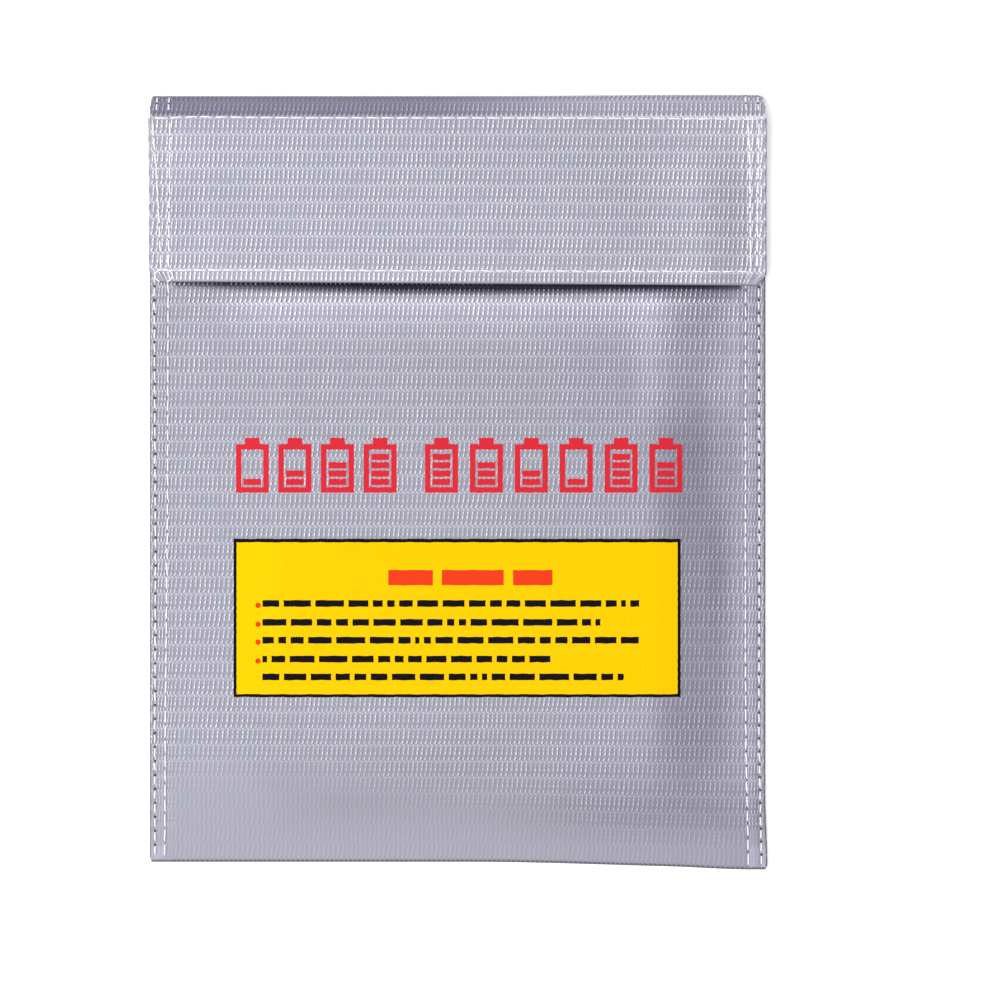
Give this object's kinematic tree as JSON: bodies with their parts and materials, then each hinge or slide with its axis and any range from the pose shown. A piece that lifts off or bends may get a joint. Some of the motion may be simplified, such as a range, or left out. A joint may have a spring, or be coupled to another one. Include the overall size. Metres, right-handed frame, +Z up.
{
  "type": "fold-over battery charging pouch",
  "caption": "Flat woven silver pouch with a fold-over flap, hook-and-loop closure, stitched side seams and plain printed panel, lying closed.",
  "frame": {"origin": "under the middle of the closed pouch, on the table it lies on", "axes": "+X across the width, +Y from the bottom fold to the top fold, +Z up from the table"},
  "size_m": [0.235, 0.295, 0.0109],
  "materials": {
    "cloth": "coated glass-fibre weave, silver, satin",
    "cloth_inside": "the same cloth seen from its uncoated side",
    "thread": "white sewing thread",
    "tape": "white woven tape",
    "pile": "white nylon loops or hooks, matte",
    "red_ink": "red screen-printed ink",
    "yellow_ink": "yellow screen-printed ink",
    "black_ink": "black screen-printed ink"
  },
  "bodies": {
    "pouch": {"back_panel": "cloth", "bottom_fold": "cloth", "front_panel": "cloth", "side_seam_left": "cloth_inside", "side_seam_right": "cloth_inside", "mouth_hem": "cloth_inside", "loop_tape": "tape", "loop_pile": "pile", "side_thread_left_outer": "thread", "side_thread_left_inner": "thread", "side_thread_right_outer": "thread", "side_thread_right_inner": "thread", "mouth_thread": "thread", "loop_tape_thread": "thread", "icon_print": "red_ink", "panel_print": "yellow_ink", "panel_border": "black_ink", "panel_heading": "red_ink", "panel_bars": "black_ink", "panel_dots": "red_ink"},
    "fold": {"top_fold": "cloth", "top_fold_hem_left": "cloth_inside", "top_fold_hem_right": "cloth_inside", "top_fold_thread_left": "thread", "top_fold_thread_right": "thread"},
    "flap": {"flap_panel": "cloth", "flap_lining": "cloth_inside", "flap_rolled_edge": "cloth", "hook_tape": "tape", "hook_field": "pile", "flap_thread_top": "thread", "flap_thread_bottom": "thread", "flap_thread_left": "thread", "flap_thread_right": "thread", "hook_tape_thread": "thread"}
  },
  "joints": [
    {"name": "fold_hinge", "type": "hinge", "parent": "pouch", "child": "fold", "pos_m": [0, 0.14785, 0.0003], "axis": [-1, 0, 0], "range_deg": [0, 126.3]},
    {"name": "flap_hinge", "type": "hinge", "parent": "fold", "child": "flap", "pos_m": [0, 0.1402, 0.0103], "axis": [-1, 0, 0], "range_deg": [0, 51.59]}
  ],
  "couplings": [
    {"joint": "flap_hinge", "follows": "fold_hinge", "ratio": 0.4082}
  ]
}
